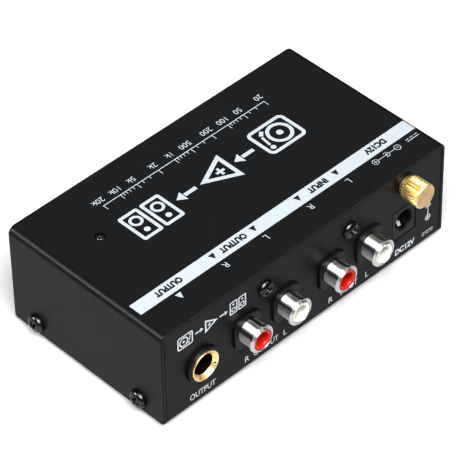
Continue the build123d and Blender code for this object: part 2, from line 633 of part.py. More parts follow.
with BuildPart() as voltage_regulator:
    with Locations((REG[0], REG[1], ZP + 2.5)):
        Box(10.2, 4.5, 9.0, align=(Align.CENTER, Align.CENTER, Align.MIN))
    with Locations((REG[0], REG[1] + 1.6, ZP + 11.0)):
        Box(10.2, 1.3, 7.0, align=(Align.CENTER, Align.CENTER, Align.MIN))
    with Locations(*[(REG[0] + dx, REG[1], ZP + 0.05) for dx in (-2.54, 0, 2.54)]):
        Box(0.9, 0.5, 3.0, align=(Align.CENTER, Align.CENTER, Align.MIN))
    with BuildSketch(Plane(origin=(REG[0], REG[1] - 1, ZP + 15.2), x_dir=(1, 0, 0), z_dir=(0, 1, 0))):
        Circle(1.8)
    extrude(amount=6, mode=Mode.SUBTRACT)
voltage_regulator.part.label = "voltage_regulator"
export_step(voltage_regulator.part, "parts/voltage_regulator.step")

with BuildPart() as polarity_diode:
    with BuildSketch(Plane(origin=(DIODE[0], DIODE[1] - 2.6, ZP + 1.5), x_dir=(1, 0, 0), z_dir=(0, 1, 0))):
        Circle(1.35)
    extrude(amount=5.2)
    with Locations((DIODE[0], DIODE[1], ZP + 1.5)):
        Box(0.8, 8.6, 0.8)
    with Locations((DIODE[0], DIODE[1] - 4.0, ZP + 0.05), (DIODE[0], DIODE[1] + 4.0, ZP + 0.05)):
        Box(0.8, 0.8, 1.8, align=(Align.CENTER, Align.CENTER, Align.MIN))
polarity_diode.part.label = "polarity_diode"
export_step(polarity_diode.part, "parts/polarity_diode.step")
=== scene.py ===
import bpy, bmesh
from math import sin, cos, tan, pi, radians, sqrt, hypot, log10, floor, atan2
from mathutils import Vector, Matrix


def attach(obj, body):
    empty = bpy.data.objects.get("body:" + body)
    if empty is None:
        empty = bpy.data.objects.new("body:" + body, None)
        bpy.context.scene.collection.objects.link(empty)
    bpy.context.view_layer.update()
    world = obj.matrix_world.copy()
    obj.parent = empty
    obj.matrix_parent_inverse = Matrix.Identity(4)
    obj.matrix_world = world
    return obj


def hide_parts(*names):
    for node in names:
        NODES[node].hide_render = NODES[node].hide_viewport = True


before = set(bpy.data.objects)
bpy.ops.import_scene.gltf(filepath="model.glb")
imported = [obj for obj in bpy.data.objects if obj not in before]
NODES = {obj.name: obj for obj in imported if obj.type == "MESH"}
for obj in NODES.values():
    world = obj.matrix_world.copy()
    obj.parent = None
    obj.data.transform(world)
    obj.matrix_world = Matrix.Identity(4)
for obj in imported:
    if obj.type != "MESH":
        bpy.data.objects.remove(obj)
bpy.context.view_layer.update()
MM = 0.001

# ---------------------------------------------------------------------------
# Sizes of the part, in millimetres, in the row frame
# ---------------------------------------------------------------------------
W, D, H = 106.0, 58.4, 32.2
PROT = 7.1
YC = PROT / 2
YF = YC - D / 2
Z0 = 1.5
ZT = Z0 + H
RECESS = 0.15
R_BEND = 2.3
X_JACK, Z_JACK = -39.1, Z0 + 13.5
RCA = {"output_right": -22.7, "output_left": -8.4, "input_right": 9.0, "input_left": 23.3}
Z_RCA = Z0 + 14.5
X_DC, Z_DC = 37.45, Z0 + 13.7
X_GND, Z_GND = 37.75, Z0 + 26.45
PANEL_SCREWS = [(-15.55, Z0 + 24.2), (16.15, Z0 + 24.0)]
SIDE_SCREW_Y = (YC - 19.9, YC + 19.9)
Z_SIDE_SCREW = Z0 + 3.85
X_LED, Y_LED = -38.1, YC + 9.6
FEET = [(-44.0, YC - 21.0), (44.0, YC - 21.0), (-44.0, YC + 21.0), (44.0, YC + 21.0)]
FOOT_H = 1.5


# ---------------------------------------------------------------------------
# Materials
# ---------------------------------------------------------------------------
class Mat:
    """A node material with a Principled shader, and short calls to build its nodes."""

    def __init__(self, name, **sockets):
        self.m = bpy.data.materials.new(name)
        self.m.use_nodes = True
        self.t = self.m.node_tree
        self.t.nodes.clear()
        self.out = self.t.nodes.new("ShaderNodeOutputMaterial")
        self.p = self.t.nodes.new("ShaderNodeBsdfPrincipled")
        self.link(self.p.outputs[0], self.out.inputs[0])
        self.co = self.t.nodes.new("ShaderNodeTexCoord").outputs["Object"]
        for k, v in sockets.items():
            self.p.inputs[k.replace("_", " ")].default_value = v

    def link(self, a, b):
        self.t.links.new(a, b)

    def noise(self, scale, detail=3.0, rough=0.55, stretch=None, offset=(0, 0, 0)):
        n = self.t.nodes.new("ShaderNodeTexNoise")
        n.inputs["Scale"].default_value = scale
        n.inputs["Detail"].default_value = detail
        n.inputs["Roughness"].default_value = rough
        mp = self.t.nodes.new("ShaderNodeMapping")
        mp.inputs["Location"].default_value = offset
        if stretch:
            mp.inputs["Scale"].default_value = stretch
        self.link(self.co, mp.inputs["Vector"])
        self.link(mp.outputs[0], n.inputs["Vector"])
        return n.outputs["Fac"]

    def voronoi(self, scale, feature="F1"):
        n = self.t.nodes.new("ShaderNodeTexVoronoi")
        n.feature = feature
        n.inputs["Scale"].default_value = scale
        self.link(self.co, n.inputs["Vector"])
        return n.outputs["Distance"]

    def fit(self, fac, lo, hi, a, b):
        """Maps fac from lo..hi to a..b."""
        n = self.t.nodes.new("ShaderNodeMapRange")
        for i, v in enumerate((lo, hi, a, b)):
            n.inputs[i + 1].default_value = v
        self.link(fac, n.inputs[0])
        return n.outputs[0]

    def mix(self, fac, a, b):
        n = self.t.nodes.new("ShaderNodeMix")
        n.data_type = "RGBA"
        self.link(fac, n.inputs["Factor"])
        for i, v in ((6, a), (7, b)):
            if hasattr(v, "links"):
                self.link(v, n.inputs[i])
            else:
                n.inputs[i].default_value = (*v, 1)
        return n.outputs[2]

    def math(self, op, a, b=0.0):
        n = self.t.nodes.new("ShaderNodeMath")
        n.operation = op
        for i, v in enumerate((a, b)):
            if hasattr(v, "links"):
                self.link(v, n.inputs[i])
            else:
                n.inputs[i].default_value = v
        return n.outputs[0]

    def xyz(self):
        n = self.t.nodes.new("ShaderNodeSeparateXYZ")
        self.link(self.co, n.inputs[0])
        return n.outputs

    def bump(self, height, distance, strength=1.0, under=None):
        n = self.t.nodes.new("ShaderNodeBump")
        n.inputs["Strength"].default_value = strength
        n.inputs["Distance"].default_value = distance
        self.link(height, n.inputs["Height"])
        if under is not None:
            self.link(under, n.inputs["Normal"])
        return n.outputs[0]

    def set(self, **links):
        for k, v in links.items():
            self.link(v, self.p.inputs[k.replace("_", " ")])
        return self.m


def powder_coat():
    k = Mat("black_powder_coat", IOR=1.5, Specular_IOR_Level=0.23)
    fine, mid, wide = k.noise(5200, 2), k.noise(1300, 3), k.noise(45, 2)
    tone = k.mix(k.fit(mid, 0.3, 0.7, 0, 1), (0.0085, 0.0094, 0.0108), (0.0125, 0.0138, 0.0156))
    tone = k.mix(k.fit(wide, 0.35, 0.65, 0, 0.35), tone, (0.0128, 0.0138, 0.0154))
    b = k.bump(mid, 0.00002, 0.5)
    b = k.bump(fine, 0.000012, 0.6, b)
    return k.set(Base_Color=tone, Roughness=k.fit(fine, 0.3, 0.7, 0.32, 0.42), Normal=b)


def black_plastic():
    k = Mat("black_moulded_plastic", IOR=1.49, Specular_IOR_Level=0.34)
    fine, wide = k.noise(3800, 2), k.noise(160, 2)
    tone = k.mix(k.fit(wide, 0.3, 0.7, 0, 1), (0.0095, 0.0098, 0.0105), (0.0150, 0.0154, 0.0164))
    return k.set(Base_Color=tone, Roughness=k.fit(wide, 0.3, 0.7, 0.26, 0.36), Normal=k.bump(fine, 0.000006, 0.5))


def turned(name, colour, colour2, rough, along="Y", tilt=0.35, grain=0.0, metal=1.0):
    """Bright turned or drawn metal: faint rings round the axis, a grain that spreads light across them, and small changes in gloss."""
    k = Mat(name, Metallic=metal)
    if grain:
        k.p.inputs["Anisotropic"].default_value = grain
        k.p.inputs["Anisotropic Rotation"].default_value = 0.25
        t = k.t.nodes.new("ShaderNodeTangent")
        t.direction_type, t.axis = "RADIAL", along
        k.link(t.outputs[0], k.p.inputs["Tangent"])
    s = {"Y": (60, 5200, 60), "Z": (60, 60, 5200), "X": (5200, 60, 60)}[along]
    rings = k.noise(1.0, 2, 0.6, stretch=s)
    spots = k.noise(420, 3)
    tone = k.mix(k.fit(spots, 0.3, 0.75, 0, 1), colour, colour2)
    r = k.math("ADD", k.fit(rings, 0.3, 0.7, rough - 0.03, rough + 0.05), k.fit(spots, 0.4, 0.8, 0.0, 0.05))
    return k.set(Base_Color=tone, Roughness=r, Normal=k.bump(rings, 0.000004, tilt))


def gloss_plastic(name, a, b, rough=0.24, sub=0.0, spec=0.5):
    k = Mat(name, IOR=1.5, Specular_IOR_Level=spec, Subsurface_Weight=sub, Subsurface_Scale=0.0008)
    wide, fine = k.noise(260, 2), k.noise(2600, 2)
    return k.set(Base_Color=k.mix(k.fit(wide, 0.3, 0.7, 0, 1), a, b), Roughness=k.fit(fine, 0.3, 0.7, rough - 0.04, rough + 0.06),
                 Normal=k.bump(fine, 0.000004, 0.4))


def ink(name, a, b, rough=0.5):
    """Screen-printed ink: slightly uneven cover and a dry, faintly pitted film."""
    k = Mat(name, IOR=1.48)
    mid, fine = k.noise(900, 4, 0.7), k.noise(6000, 2)
    return k.set(Base_Color=k.mix(k.fit(mid, 0.42, 0.72, 0, 1), a, b), Roughness=k.fit(mid, 0.3, 0.7, rough - 0.05, rough + 0.08),
                 Normal=k.bump(fine, 0.00001, 0.5))


def rubber():
    k = Mat("black_rubber", IOR=1.5)
    n = k.noise(1500, 4, 0.7)
    return k.set(Base_Color=k.mix(k.fit(n, 0.3, 0.7, 0, 1), (0.014, 0.014, 0.014), (0.03, 0.03, 0.029)),
                 Roughness=k.fit(n, 0.3, 0.7, 0.7, 0.9), Normal=k.bump(n, 0.00004, 0.6))


def black_zinc():
    k = Mat("black_zinc_steel", Metallic=1.0)
    n, f = k.noise(700, 4, 0.65), k.noise(4000, 2)
    return k.set(Base_Color=k.mix(k.fit(n, 0.3, 0.7, 0, 1), (0.066, 0.065, 0.065), (0.118, 0.115, 0.111)),
                 Roughness=k.fit(n, 0.3, 0.7, 0.24, 0.34), Normal=k.bump(f, 0.000006, 0.5))


def board():
    k = Mat("solder_mask_board", IOR=1.5)
    x, y, z = k.xyz()
    tracks = k.t.nodes.new("ShaderNodeTexWave")
    tracks.inputs["Scale"].default_value = 160
    tracks.inputs["Distortion"].default_value = 5
    tracks.inputs["Detail"].default_value = 1
    k.link(k.co, tracks.inputs["Vector"])
    cu = k.fit(tracks.outputs["Fac"], 0.62, 0.68, 0, 1)
    tone = k.mix(cu, (0.012, 0.075, 0.03), (0.03, 0.16, 0.06))
    return k.set(Base_Color=tone, Roughness=k.fit(k.noise(900), 0.3, 0.7, 0.22, 0.34), Normal=k.bump(cu, 0.00003, 0.7))


def banded():
    """Resistor bodies with colour bands along Y."""
    k = Mat("resistor_lacquer", IOR=1.5)
    x, y, z = k.xyz()
    cell = k.math("FRACT", k.math("MULTIPLY", y, 1 / 0.0245))
    bands = k.t.nodes.new("ShaderNodeValToRGB")
    r = bands.color_ramp
    r.interpolation = "CONSTANT"
    r.elements[0].position, r.elements[0].color = 0.0, (0.16, 0.32, 0.5, 1)
    r.elements[1].position, r.elements[1].color = 0.62, (0.45, 0.03, 0.02, 1)
    for pos, col in ((0.66, (0.16, 0.32, 0.5, 1)), (0.70, (0.5, 0.3, 0.02, 1)), (0.74, (0.16, 0.32, 0.5, 1)), (0.78, (0.2, 0.09, 0.03, 1)), (0.82, (0.16, 0.32, 0.5, 1))):
        e = r.elements.new(pos)
        e.color = col
    k.link(cell, bands.inputs[0])
    n = k.noise(800)
    return k.set(Base_Color=k.mix(k.fit(n, 0.3, 0.7, 0, 0.25), bands.outputs[0], (0.1, 0.1, 0.1)), Roughness=k.fit(n, 0.3, 0.7, 0.3, 0.45))


def sleeve():
    """Shrink sleeve of an electrolytic capacitor with its pale stripe."""
    k = Mat("capacitor_sleeve", IOR=1.5)
    x, y, z = k.xyz()
    st = k.fit(k.math("FRACT", k.math("MULTIPLY", x, 1 / 0.0085)), 0.80, 0.84, 0, 1)
    n = k.noise(500)
    base = k.mix(k.fit(n, 0.3, 0.7, 0, 1), (0.012, 0.014, 0.04), (0.02, 0.022, 0.06))
    return k.set(Base_Color=k.mix(st, base, (0.35, 0.37, 0.4)), Roughness=k.fit(n, 0.3, 0.7, 0.25, 0.4), Normal=k.bump(n, 0.00002, 0.4))


def lens():
    k = Mat("clear_lens", IOR=1.5, Transmission_Weight=0.96)
    n = k.noise(900)
    return k.set(Base_Color=k.mix(k.fit(n, 0.3, 0.7, 0, 1), (0.80, 0.84, 0.80), (0.90, 0.92, 0.88)), Roughness=k.fit(n, 0.3, 0.7, 0.02, 0.07))


def paper_floor():
    k = Mat("studio_floor", IOR=1.3)
    wide, fine = k.noise(3, 2), k.noise(260, 2)
    return k.set(Base_Color=k.mix(k.fit(wide, 0.3, 0.7, 0, 1), (0.585, 0.585, 0.585), (0.61, 0.61, 0.61)),
                 Roughness=k.fit(fine, 0.3, 0.7, 0.85, 0.95))


COAT = powder_coat()
PLASTIC = black_plastic()
NICKEL = turned("bright_nickel", (0.68, 0.68, 0.68), (0.75, 0.75, 0.75), 0.38, grain=1.0)
NICKEL_Z = turned("nickel_plate", (0.60, 0.58, 0.55), (0.70, 0.68, 0.65), 0.24, along="Z")
GOLD = turned("gold_flash", (0.80, 0.63, 0.35), (0.87, 0.72, 0.44), 0.36, metal=0.9)
# near-black brass used as painted shade inside the jack's bore and its dimples
BORE_SHADE = turned("bore_painted_shade_brass", (0.060, 0.040, 0.022), (0.095, 0.064, 0.036), 0.40)
BRASS = turned("turned_brass", (0.84, 0.67, 0.40), (0.88, 0.72, 0.46), 0.30, metal=0.85)
BRASS_KNURL = turned("knurled_brass", (0.70, 0.56, 0.27), (0.76, 0.62, 0.33), 0.30, tilt=0.0, metal=0.80)
BRASS_FACE = turned("faced_brass", (0.53, 0.405, 0.235), (0.69, 0.55, 0.36), 0.46, tilt=0.6)
SATIN = turned("satin_nickel", (0.92, 0.91, 0.89), (0.96, 0.95, 0.94), 0.34, tilt=0.2, metal=0.65)
RED = gloss_plastic("red_insert", (0.36, 0.016, 0.009), (0.44, 0.024, 0.014), 0.26, spec=0.5)
CREAM = gloss_plastic("cream_insert", (0.56, 0.55, 0.50), (0.62, 0.612, 0.57), 0.30, 0.08, spec=0.5)
WHITE_INK = ink("white_ink", (0.375, 0.405, 0.428), (0.345, 0.372, 0.395))
PANEL_INK = ink("panel_white_ink", (0.50, 0.52, 0.54), (0.46, 0.48, 0.50))
BLACK_INK = ink("black_ink", (0.012, 0.0125, 0.014), (0.020, 0.021, 0.024), 0.45)
RUBBER = rubber()
ZINC = black_zinc()
BOARD = board()
RESISTOR = banded()
SLEEVE = sleeve()
LENS = lens()
FILM = gloss_plastic("film_capacitor_red", (0.38, 0.035, 0.02), (0.46, 0.05, 0.03), 0.35)
DISC = gloss_plastic("ceramic_dip", (0.52, 0.25, 0.07), (0.62, 0.32, 0.10), 0.4)
WIRE = gloss_plastic("green_insulation", (0.03, 0.22, 0.04), (0.05, 0.30, 0.06), 0.35)
FLOOR = paper_floor()


def dress(mat, *names):
    """Gives CAD nodes that keep their shape a finished material."""
    for n in names:
        o = NODES[n]
        if not o.material_slots:
            o.data.materials.append(mat)
        for s in o.material_slots:
            s.material = mat


# ---------------------------------------------------------------------------
# Mesh building
# ---------------------------------------------------------------------------
def piece(name, verts, faces, mat, body="root", sharp=35, slot=None, replaces=(), matrix=None):
    me = bpy.data.meshes.new(name)
    me.from_pydata([(x * MM, y * MM, z * MM) for x, y, z in verts], [], faces)
    if matrix is not None:
        me.transform(matrix)
    return finish_piece(name, me, mat, body, sharp, replaces)


def finish_piece(name, me, mat, body, sharp, replaces, merge=2e-7):
    bm = bmesh.new()
    bm.from_mesh(me)
    bmesh.ops.remove_doubles(bm, verts=bm.verts, dist=merge)
    bmesh.ops.dissolve_degenerate(bm, edges=bm.edges, dist=1e-8)
    bmesh.ops.recalc_face_normals(bm, faces=bm.faces)
    for f in bm.faces:
        f.smooth = True
    for e in bm.edges:
        if len(e.link_faces) == 2:
            e.smooth = e.calc_face_angle(0) < radians(sharp)
    bm.to_mesh(me)
    bm.free()
    o = bpy.data.objects.new(name, me)
    bpy.context.scene.collection.objects.link(o)
    me.materials.clear()
    me.materials.append(mat)
    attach(o, body)
    if replaces:
        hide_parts(*replaces)
    return o


def soften(points, radii, n=4, closed=True):
    """Rounds the corners of a section. points are (along, radius), radii one number for each corner."""
    out = []
    k = len(points)
    for i, (p, r) in enumerate(zip(points, radii)):
        if r <= 0 or (not closed and i in (0, k - 1)):
            out.append(p)
            continue
        p = Vector(p)
        a, b = Vector(points[i - 1]) - p, Vector(points[(i + 1) % k]) - p
        da, db = a.normalized(), b.normalized()
        ang = da.angle(db)
        if ang > pi - 0.02:
            out.append(tuple(p))
            continue
        cut = min(r / tan(ang / 2), a.length * 0.49, b.length * 0.49)
        r2 = cut * tan(ang / 2)
        c = p + (da + db).normalized() * (r2 / sin(ang / 2))
        s, e = p + da * cut, p + db * cut
        vs, ve = s - c, e - c
        turn = vs.angle_signed(ve)
        for j in range(n + 1):
            t = -turn * j / n
            out.append(tuple(c + Vector((vs.x * cos(t) - vs.y * sin(t), vs.x * sin(t) + vs.y * cos(t)))))
    return out


def panel_place(x, z):
    """Section coordinates to the row frame, for a turned piece on the connector panel: along is out of the panel."""
    return lambda u, r, a: (x + r * cos(a), YF - u, z + r * sin(a))


def side_place(side, y, z):
    return lambda u, r, a: (side * (W / 2 + u), y + r * cos(a), z + r * sin(a))


def up_place(x, y):
    return lambda u, r, a: (x + r * cos(a), y + r * sin(a), u)


def rings_mesh(rings, place, seg, closed):
    """rings is a list of functions of the angle that give (along, radius), or of fixed (along, radius). A radius of 0 is a pole."""
    verts, faces, index = [], [], []
    for ring in rings:
        if not callable(ring) and ring[1] == 0:
            index.append([len(verts)])
            verts.append(place(ring[0], 0, 0))
            continue
        row = []
        for j in range(seg):
            a = 2 * pi * j / seg
            u, r = ring(a) if callable(ring) else ring
            row.append(len(verts))
            verts.append(place(u, r, a))
        index.append(row)
    n = len(index)
    for i in range(n if closed else n - 1):
        p, q = index[i], index[(i + 1) % n]
        for j in range(seg):
            k = (j + 1) % seg
            if len(p) == 1 and len(q) == 1:
                break
            if len(p) == 1:
                faces.append((p[0], q[j], q[k]))
            elif len(q) == 1:
                faces.append((p[j], q[0], p[k]))
            else:
                faces.append((p[j], q[j], q[k], p[k]))
    return verts, faces


def turn(name, section, place, mat, seg=96, closed=True, **kw):
    v, f = rings_mesh(section, place, seg, closed)
    return piece(name, v, f, mat, **kw)


def solid_of(o):
    dg = bpy.context.evaluated_depsgraph_get()
    dg.update()
    return bpy.data.meshes.new_from_object(o.evaluated_get(dg))


def loose(name, verts, faces):
    """A helper object that isn't kept."""
    me = bpy.data.meshes.new(name)
    me.from_pydata([(x * MM, y * MM, z * MM) for x, y, z in verts], [], faces)
    bm = bmesh.new()
    bm.from_mesh(me)
    bmesh.ops.remove_doubles(bm, verts=bm.verts, dist=1e-7)
    bmesh.ops.recalc_face_normals(bm, faces=bm.faces)
    bm.to_mesh(me)
    bm.free()
    o = bpy.data.objects.new(name, me)
    bpy.context.scene.collection.objects.link(o)
    return o


def cross_cutter(place_xyz, top, depth, r_top, w_top, r_low, w_low):
    """The driving recess of a cross-head screw: four tapered wings that meet in a round centre. place_xyz maps (a, b, out) to the row frame."""
    def plus(r, w, core):
        pts = []
        for q in range(4):
            t = q * pi / 2
            for a, b in ((core, -w), (r - 0.12, -w), (r, -w * 0.55), (r, w * 0.55), (r - 0.12, w), (core, w)):
                pts.append((a * cos(t) - b * sin(t), a * sin(t) + b * cos(t)))
        return pts
    rows = [(top + 1.2, plus(r_top, w_top, w_top * 1.9)), (top, plus(r_top, w_top, w_top * 1.9)),
            (top - depth * 0.75, plus(r_low * 1.25, w_low, w_low * 1.5)), (top - depth, plus(r_low, w_low * 0.7, w_low * 0.9))]
    verts, faces = [], []
    n = len(rows[0][1])
    for out, pts in rows:
        verts += [place_xyz(a, b, out) for a, b in pts]
    for i in range(len(rows) - 1):
        for j in range(n):
            k = (j + 1) % n
            faces.append((i * n + j, (i + 1) * n + j, (i + 1) * n + k, i * n + k))
    faces.append(tuple(range(n)))
    faces.append(tuple(reversed(range((len(rows) - 1) * n, len(rows) * n))))
    return loose("cutter", verts, faces)


def carve(base, cutter, name, mat, bevel=0.0, **kw):
    m = base.modifiers.new("cut", "BOOLEAN")
    m.operation, m.solver, m.object = "DIFFERENCE", "EXACT", cutter
    me = solid_of(base)
    me.name = name
    bpy.data.objects.remove(base)
    bpy.data.objects.remove(cutter)
    return me


# ---------------------------------------------------------------------------
# CAD nodes that keep their shape
# ---------------------------------------------------------------------------
dress(COAT, "top_cover", "chassis")
dress(PLASTIC, "rca_output_housing", "rca_input_housing", "phone_jack_housing", "dc_jack_housing", "led_spacer", "ic_sockets", "op_amps", "voltage_regulator", "polarity_diode")
dress(NICKEL, *["rca_contact_" + k for k in RCA])
dress(NICKEL_Z, "phone_jack_tip_spring", "phone_jack_ring_spring", "dc_jack_pin", "ground_nut", "ground_lug", "led_leads", "pcb_standoffs", "pcb_screws")
dress(SATIN, "dc_jack_spring")
dress(BOARD, "main_pcb")
dress(RESISTOR, "resistors")
dress(SLEEVE, "signal_capacitors", "supply_capacitors")
dress(FILM, "film_capacitors")
dress(DISC, "ceramic_capacitors")
dress(WIRE, "ground_lead")

# ---------------------------------------------------------------------------
# Phono sockets: rolled-lip shells and coloured inserts
# ---------------------------------------------------------------------------
for key, x in RCA.items():
    at = panel_place(x, Z_RCA)
    shell = soften([(-5.9, 3.15), (-5.9, 3.65), (5.05, 3.65), (5.10, 4.05), (5.20, 4.15), (5.72, 4.15), (5.74, 3.66), (6.12, 3.26), (6.12, 3.18), (5.65, 3.15)],
                   [0.05, 0.05, 0.08, 0.06, 0.08, 0.14, 0.12, 0.06, 0.04, 0.10], 5)
    turn("rca_shell_piece_" + key, shell, at, NICKEL, seg=128, slot="nickel_plate", replaces=("rca_shell_" + key,))
    insert = soften([(5.90, 2.25), (6.08, 2.95), (5.90, 3.10), (-5.9, 3.10), (-5.9, 2.25), (1.6, 2.25), (1.6, 2.0), (5.20, 2.0), (5.52, 2.08)],
                    [0.16, 0.06, 0.05, 0.05, 0.05, 0.05, 0.08, 0.15, 0.10], 5)
    red = "right" in key
    turn("rca_insert_piece_" + key, insert, at, RED if red else CREAM, seg=128,
         slot="red_plastic" if red else "cream_plastic", replaces=("rca_insert_" + key,))

# ---------------------------------------------------------------------------
# Output jack: ferrule with four staking dimples in its flare
# ---------------------------------------------------------------------------
def ferrule():
    sec = soften([(-8.9, 3.25), (-8.9, 4.10), (1.10, 4.10), (1.10, 4.66), (1.75, 4.66), (1.75, 4.36), (0.60, 3.25)],
                 [0.05, 0.05, 0.03, 0.08, 0.20, 0.10, 0.10], 5)
    # more rings across the flare, so that the dimples are smooth
    dense = []
    for i, p in enumerate(sec):
        q = sec[(i + 1) % len(sec)]
        dense.append(p)
        if p[1] > 3.24 and q[1] < 4.45 and 0.55 < q[0] < 1.8 and hypot(p[0] - q[0], p[1] - q[1]) > 0.5:
            dense += [(p[0] + (q[0] - p[0]) * t / 18, p[1] + (q[1] - p[1]) * t / 18) for t in range(1, 18)]
    marks = [radians(a) for a in (-111, -24, 69, 156)]
    rings = []
    for u, r in dense:
        def ring(a, u=u, r=r):
            if u < 0.5 or r > 4.45:
                return u, r
            best = min(hypot((r - 3.92), r * ((a - m + pi) % (2 * pi) - pi)) for m in marks)
            if best > 0.36:
                return u, r
            d = 0.26 * (1 + cos(pi * best / 0.36)) / 2
            return u - d * 0.75, r + d * 0.3
        rings.append(ring)
    o = turn("jack_ferrule_piece", rings, panel_place(X_JACK, Z_JACK), GOLD, seg=288, slot="gold_plate", replaces=("phone_jack_ferrule",))
    # painted shade: the bore and the bottoms of the dimples get a near-black brass that stands in for the shade in
    # these hollows
    o.data.materials.append(BORE_SHADE)
    for f in o.data.polygons:
        u, x, z = YF - f.center.y / MM, f.center.x / MM - X_JACK, f.center.z / MM - Z_JACK
        r, a = hypot(x, z), atan2(z, x)
        if r < 3.28 and u < 0.62 or 0.5 < u < 1.6 and r < 4.4 and min(hypot(r - 3.92, r * ((a - m + pi) % (2 * pi) - pi)) for m in marks) < 0.27:
            f.material_index = 1


ferrule()

# ---------------------------------------------------------------------------
# Ground terminal: straight-knurled thumb screw with a real thread, and its washer
# ---------------------------------------------------------------------------
RIDGES = 27
STEPS = 12


def thumb_screw():
    seg = RIDGES * STEPS
    top = 3.75
    prof = [0.0, 0.0, 0.05, 0.16, 0.28, 0.38, 0.42, 0.38, 0.28, 0.16, 0.05, 0.0]  # one ridge, groove in the middle

    def knurl(limit):
        def ring_u(u):
            def ring(a):
                j = int(round(a / (2 * pi) * seg)) % STEPS
                return u, min(top - prof[j], limit)
            return ring
        return ring_u

    rings = [(PROT - 0.05, 0)]
    rings += [(PROT - 0.05 + 0.01 * (k % 2), r) for k, r in enumerate((0.5, 0.9, 1.3, 1.7, 2.1, 2.5, 2.9, 3.2))]
    rings += [(PROT - 0.02, 3.30), (PROT, 3.36), (PROT, 3.41), (PROT - 0.03, 3.48), (PROT - 0.14, 3.59), (PROT - 0.26, 3.63)]
    for du, lim in ((0.30, 3.66), (0.34, 3.70), (0.40, 3.74), (0.46, 3.76)):
        rings.append(knurl(lim)(PROT - du))
    for k in range(1, 9):
        rings.append(knurl(9)(PROT - 0.46 - (PROT - 0.46 - 1.70) * k / 9))
    for u, lim in ((1.70, 3.76), (1.60, 3.70), (1.50, 3.63), (1.42, 3.57), (1.36, 3.53)):
        rings.append(knurl(lim)(u))
    rings += [(1.33, 3.50), (1.10, 3.50), (0.99, 3.47), (0.92, 3.40), (0.90, 3.30), (0.90, 2.05)]

    def thread(u):
        def ring(a):
            f = (u / 0.7 - a / (2 * pi)) % 1.0
            cutin = min(1.0, max(0.0, (0.75 - u) / 0.35)) * min(1.0, max(0.0, (u + 7.95) / 0.5))
            depth = 0.36 * min(1.0, max(0.0, 1.25 * (1 - abs(2 * f - 1)) - 0.12)) * cutin
            return u, 1.93 - depth - 0.45 * max(0.0, (-7.5 - u) / 0.5)
        return ring

    n = 100
    for k in range(n + 1):
        rings.append(thread(0.86 - (0.86 + 7.95) * k / n))
    rings += [(-8.0, 1.3), (-8.0, 0)]
    o = turn("thumb_screw_piece", rings, panel_place(X_GND, Z_GND), BRASS, seg=seg, closed=False, sharp=33,
             body="ground_screw", slot="gold_plate", replaces=("ground_thumbscrew",))
    o.data.materials.append(BRASS_KNURL)
    o.data.materials.append(BRASS_FACE)
    for f in o.data.polygons:
        u = YF - f.center.y / MM
        r = hypot(f.center.x / MM - X_GND, f.center.z / MM - Z_GND)
        if u > PROT - 0.08 and r < 3.33:
            f.material_index = 2
        elif 1.36 < u < PROT - 0.28 and r > 3.3:
            f.material_index = 1


thumb_screw()
washer = soften([(-0.12, 2.15), (-0.12, 2.9), (0.88, 2.9), (0.88, 2.15)], [0.06, 0.22, 0.25, 0.1], 5)
turn("terminal_washer_piece", washer, panel_place(X_GND, Z_GND), BRASS, seg=128, body="ground_washer", slot="gold_plate", replaces=("ground_washer",))


# ---------------------------------------------------------------------------
# Cross-head screws
# ---------------------------------------------------------------------------
def joined(meshes):
    bm = bmesh.new()
    for me in meshes:
        bm.from_mesh(me)
    out = bpy.data.meshes.new("joined")
    bm.to_mesh(out)
    bm.free()
    return out


def screw_heads():
    heads = []
    for i, (x, z) in enumerate(PANEL_SCREWS):
        sec = [(1.38, 0), (1.37, 0.4), (1.33, 0.8), (1.25, 1.25), (1.12, 1.65), (0.93, 2.02), (0.70, 2.32), (0.44, 2.52), (0.22, 2.60), (-0.02, 2.60), (-0.12, 2.52),
               (-0.13, 1.25), (-6.6, 1.2), (-7.4, 0.3), (-7.4, 0)]
        v, f = rings_mesh(sec, panel_place(x, z), 72, False)
        spin = radians((24, 61)[i])
        to = lambda a, b, o, x=x, z=z, s=spin: (x + a * cos(s) - b * sin(s), YF - o, z + a * sin(s) + b * cos(s))
        heads.append(carve(loose("head", v, f), cross_cutter(to, 1.42, 1.25, 1.62, 0.36, 0.55, 0.26), "panel_screw", ZINC))
    finish_piece("panel_screws_piece", joined(heads), ZINC, "root", 32, ("panel_screws",))
    heads = []
    for i, (side, y) in enumerate([(s, y) for s in (-1, 1) for y in SIDE_SCREW_Y]):
        sec = [(1.74, 0), (1.74, 0.6), (1.72, 1.1), (1.66, 1.55), (1.54, 1.95), (1.36, 2.28), (1.12, 2.53), (0.82, 2.68), (0.5, 2.75), (0.12, 2.75), (0.03, 2.68),
               (0.03, 1.5), (-4.6, 1.45), (-5.2, 0.9), (-5.2, 0)]
        v, f = rings_mesh(sec, side_place(side, y, Z_SIDE_SCREW), 72, False)
        spin = radians((12, 53, 38, 75)[i])
        to = lambda a, b, o, side=side, y=y, s=spin: (side * (W / 2 + o), y + a * cos(s) - b * sin(s), Z_SIDE_SCREW + a * sin(s) + b * cos(s))
        heads.append(carve(loose("head", v, f), cross_cutter(to, 1.78, 1.35, 1.75, 0.38, 0.6, 0.28), "cover_screw", ZINC))
    finish_piece("cover_screws_piece", joined(heads), ZINC, "root", 32, ("cover_screws",))


screw_heads()


